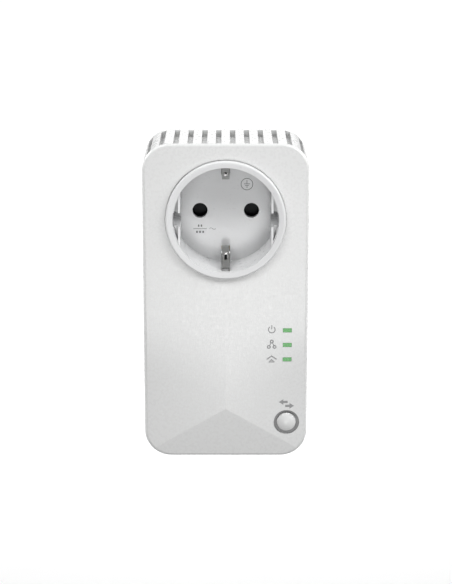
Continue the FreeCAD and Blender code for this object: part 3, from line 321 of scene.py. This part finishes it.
def surface_of(node):
    """A tree that finds the surface of a CAD node."""
    mesh = frame["nodes"][node].data
    return BVHTree.FromPolygons([v.co for v in mesh.vertices], [p.vertices for p in mesh.polygons])


class Print:
    """Flat symbols laid on a surface that faces -Y. Points are x and z in millimetres from a centre."""

    LIFT = 0.02 * MM

    def __init__(self, node, centre):
        self.tree = surface_of(node)
        self.centre = centre
        self.mesh = bmesh.new()

    def level(self, x, z):
        """How far back the surface lies at a place."""
        spot, _, _, _ = self.tree.ray_cast(Vector((x, FRONT_Y - 0.05, z)), Vector((0, 1, 0)))
        return spot.y

    def shape(self, points):
        """A raised patch with the given outline."""
        places = [(self.centre[0] + x * MM, self.centre[1] + z * MM) for x, z in points]
        tops = [self.mesh.verts.new((x, self.level(x, z) - self.LIFT, z)) for x, z in places]
        feet = [self.mesh.verts.new((x, self.level(x, z) + self.LIFT, z)) for x, z in places]
        self.mesh.faces.new(tops)
        self.mesh.faces.new(feet[::-1])
        count = len(places)
        for number in range(count):
            after = (number + 1) % count
            self.mesh.faces.new((tops[number], feet[number], feet[after], tops[after]))

    def line(self, points, width, closed=False):
        """A stroke of even width with mitred corners."""
        spots = [Vector(point) for point in points]
        count = len(spots)
        sides = []
        for number, spot in enumerate(spots):
            before = spots[number - 1] if closed or number else spot
            after = spots[(number + 1) % count] if closed or number < count - 1 else spot
            into = (spot - before).normalized() if before != spot else (after - spot).normalized()
            out = (after - spot).normalized() if after != spot else into
            normal = Vector((-into.y - out.y, into.x + out.x)).normalized()
            reach = width / 2 / max(normal.dot(Vector((-into.y, into.x))), 0.3)
            sides.append((spot + normal * reach, spot - normal * reach))
        last = count if closed else count - 1
        for number in range(last):
            one, two = sides[number], sides[(number + 1) % count]
            self.shape([one[0], two[0], two[1], one[1]])

    def ring(self, x, z, radius, width, start=0, end=360, steps=28):
        whole = end - start >= 360
        count = steps if whole else steps + 1
        angles = [math.radians(start + (end - start) * number / steps) for number in range(count)]
        self.line([(x + radius * math.cos(a), z + radius * math.sin(a)) for a in angles], width, whole)

    def disc(self, x, z, radius, steps=20):
        angles = [math.tau * number / steps for number in range(steps)]
        self.shape([(x + radius * math.cos(a), z + radius * math.sin(a)) for a in angles])

    def block(self, x, z, wide, tall):
        self.shape([(x - wide / 2, z - tall / 2), (x + wide / 2, z - tall / 2),
                    (x + wide / 2, z + tall / 2), (x - wide / 2, z + tall / 2)])

    def done(self, name, material):
        """Turn the patches into one named piece."""
        bmesh.ops.remove_doubles(self.mesh, verts=self.mesh.verts, dist=1e-7)
        bmesh.ops.recalc_face_normals(self.mesh, faces=self.mesh.faces)
        data = bpy.data.meshes.new(name)
        self.mesh.to_mesh(data)
        self.mesh.free()
        data.materials.append(material)
        piece = bpy.data.objects.new(name, data)
        bpy.context.scene.collection.objects.link(piece)
        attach(piece, "adapter")


ICON_X = GUIDE_X - 5.7 * MM
FACE_INK = ink("face_ink", (0.37, 0.37, 0.375))
FLOOR_INK = ink("floor_ink", (0.13, 0.13, 0.135))


def power_icon():
    """A broken ring with a stroke at its gap."""
    mark = Print("front_cover", (ICON_X, WINDOW_TOP + 0.25 * MM))
    mark.ring(0, 0, 1.22, 0.36, 125, 415)
    mark.block(0, 0.95, 0.36, 1.5)
    mark.done("power_icon", FACE_INK)


def network_icon():
    """Three rings joined by two strokes."""
    mark = Print("front_cover", (ICON_X, WINDOW_TOP - WINDOW_STEP))
    mark.ring(0, 1.35, 0.52, 0.42, steps=20)
    for side in (-1, 1):
        mark.ring(side * 1.05, -0.75, 0.52, 0.42, steps=20)
        mark.line([(side * 0.25, 0.85), (side * 0.8, -0.25)], 0.28)
    mark.done("network_icon", FACE_INK)


def home_icon():
    """A roof over an arc and a base line."""
    mark = Print("front_cover", (ICON_X, WINDOW_TOP - 2 * WINDOW_STEP))
    mark.line([(-1.8, 0.05), (0, 1.35), (1.8, 0.05)], 0.42)
    mark.disc(0, -0.1, 0.24)
    mark.line([(-1.1, -0.95), (1.1, -0.95)], 0.38)
    mark.ring(0, -1.0, 0.75, 0.32, 25, 155, 12)
    mark.done("home_icon", FACE_INK)


def pair_icon():
    """Two arrows that point away from each other."""
    mark = Print("front_cover", (BUTTON[0] - 0.05 * MM, BUTTON[2] + 7.2 * MM))
    for side, x, z in ((-1, -1.15, 0.78), (1, 1.15, -0.78)):
        mark.shape([(x + side * 1.7, z), (x, z + 1.1), (x, z + 0.45), (x - side * 1.6, z + 0.45),
                    (x - side * 1.6, z - 0.45), (x, z - 0.45), (x, z - 1.1)])
    mark.done("pair_icon", FACE_INK)


def earth_symbol():
    """The protective earth symbol in its ring."""
    mark = Print("socket_insert", (7.8 * MM, 9.85 * MM))
    mark.ring(0, 0, 2.15, 0.2, steps=40)
    mark.block(0, 0.85, 0.2, 1.5)
    for level, wide in ((0.1, 2.1), (-0.5, 1.35), (-1.1, 0.6)):
        mark.block(0, level, wide, 0.2)
    mark.done("earth_symbol", FLOOR_INK)


def rating_mark():
    """A neutral stand-in for the printed rating: a bar, short dashes and a wave."""
    mark = Print("socket_insert", (-9.5 * MM, -6.95 * MM))
    mark.block(0, 0, 5.0, 0.16)
    for x in (-0.5, 0.5):
        mark.block(x, 1.15, 0.5, 0.8)
    for x in (-1.15, 0, 1.15):
        mark.block(x, -1.2, 0.62, 0.8)
    wave = [(3.4 + number * 0.15, 0.05 + 0.28 * math.sin(math.tau * number / 16)) for number in range(17)]
    mark.line(wave, 0.16)
    mark.done("rating_mark", FLOOR_INK)


# ---------------------------------------------------------------- studio

def area_light(name, place, target, size, power, mirrored=True):
    """A soft panel. One that isn't mirrored lights the scene without showing in glossy surfaces."""
    data = bpy.data.lights.new(name, "AREA")
    data.shape = "RECTANGLE"
    data.size, data.size_y = size
    data.energy = power
    lamp = bpy.data.objects.new(name, data)
    bpy.context.scene.collection.objects.link(lamp)
    lamp.location = place
    lamp.rotation_euler = (Vector(target) - Vector(place)).to_track_quat("-Z", "Y").to_euler()
    lamp.visible_glossy = mirrored


def around(azimuth, elevation, distance):
    """A place in front of the adapter, by angles in degrees from the front's middle."""
    side = math.radians(azimuth)
    rise = math.radians(elevation)
    return FRONT_MIDDLE + distance * Vector((math.sin(side) * math.cos(rise),
                                             -math.cos(side) * math.cos(rise), math.sin(rise)))


PANEL = (0.30, 0.20)
SMALL_PANEL = (0.13, 0.13)
BACKDROP_PANEL = (2.6, 10.8)


def soft_lights():
    """Low front panels for the sheen, high side panels, two grazing the top, and the backdrop's pair."""
    front_panels = (
        ("sheen", (0, -15, 0.70), SMALL_PANEL, 0.53),
        ("sheen_right", (10, -15, 0.70), SMALL_PANEL, 0.19),
        ("sheen_low", (0, -25, 0.70), SMALL_PANEL, 0.38),
        ("key_left", (-60, 35, 0.62), PANEL, 0.37),
        ("key_right", (66, 30, 0.66), PANEL, 1.54),
        ("upper_left", (-35, 50, 0.62), PANEL, 1.27),
        ("upper_right", (35, 50, 0.62), PANEL, 1.11),
    )
    for name, place, size, power in front_panels:
        area_light(name, around(*place), FRONT_MIDDLE, size, power)
    area_light("crown_left", (-0.60, 0.10, 0.30), (0, 0, BODY_HIGH), PANEL, 3.0)
    area_light("crown_right", (0.60, 0.10, 0.30), (0, 0, BODY_HIGH), PANEL, 2.6)
    area_light("backdrop", (0, 6.6, 0.5), (0, 6.6, 0), BACKDROP_PANEL, 100.0)
    area_light("backdrop_fill", (0, 6.6, 0.51), (0, 6.6, 0), BACKDROP_PANEL, 105.0, False)


def surroundings():
    """A nearly black world, so that the panels do the lighting."""
    world = bpy.data.worlds.new("studio")
    world.use_nodes = True
    backing = world.node_tree.nodes["Background"].inputs
    backing["Color"].default_value = (1, 1, 1, 1)
    backing["Strength"].default_value = 0.02
    bpy.context.scene.world = world


def matt_floor(name, dark, light):
    """Matt paper in two close greys."""
    material, tree, shader = new_material(name)
    tree.links.new(tint(tree, noise(tree, 3, 2), (dark,) * 3, (light,) * 3), shader.inputs["Base Color"])
    tree.links.new(spread(tree, noise(tree, 8, 2), 0.85, 0.95), shader.inputs["Roughness"])
    return material


def pale_floor():
    """A wide floor well below the adapter, which fills the whole picture behind it."""
    half = 14.0
    drop = 0.70
    level = BODY_LOW - drop
    data = bpy.data.meshes.new("floor")
    shape = bmesh.new()
    quarters = ((-1, -1), (1, -1), (1, 1), (-1, 1))
    shape.faces.new([shape.verts.new((x * half, y * half, level)) for x, y in quarters])
    shape.to_mesh(data)
    shape.free()
    data.materials.append(matt_floor("pale_floor", 0.91, 0.94))
    floor = bpy.data.objects.new("floor", data)
    bpy.context.scene.collection.objects.link(floor)


def camera():
    """A long lens 15 degrees above the front, 0.66 m away."""
    elevation = math.radians(15.0)
    distance = 0.659
    aim = FRONT_MIDDLE + Vector((0.1 * MM, 0, 4.74 * MM))
    data = bpy.data.cameras.new("camera")
    data.lens = 111.45
    data.sensor_width = 36.0
    item = bpy.data.objects.new("camera", data)
    bpy.context.scene.collection.objects.link(item)
    item.location = aim + distance * Vector((0, -math.cos(elevation), math.sin(elevation)))
    item.rotation_euler = (math.radians(90) - elevation, 0, 0)
    bpy.context.scene.camera = item


camera()
soft_lights()
surroundings()
pale_floor()
paint_cad()
shutter_coil()
power_icon()
network_icon()
home_icon()
pair_icon()
earth_symbol()
rating_mark()
bpy.context.scene.view_settings.view_transform = "Standard"
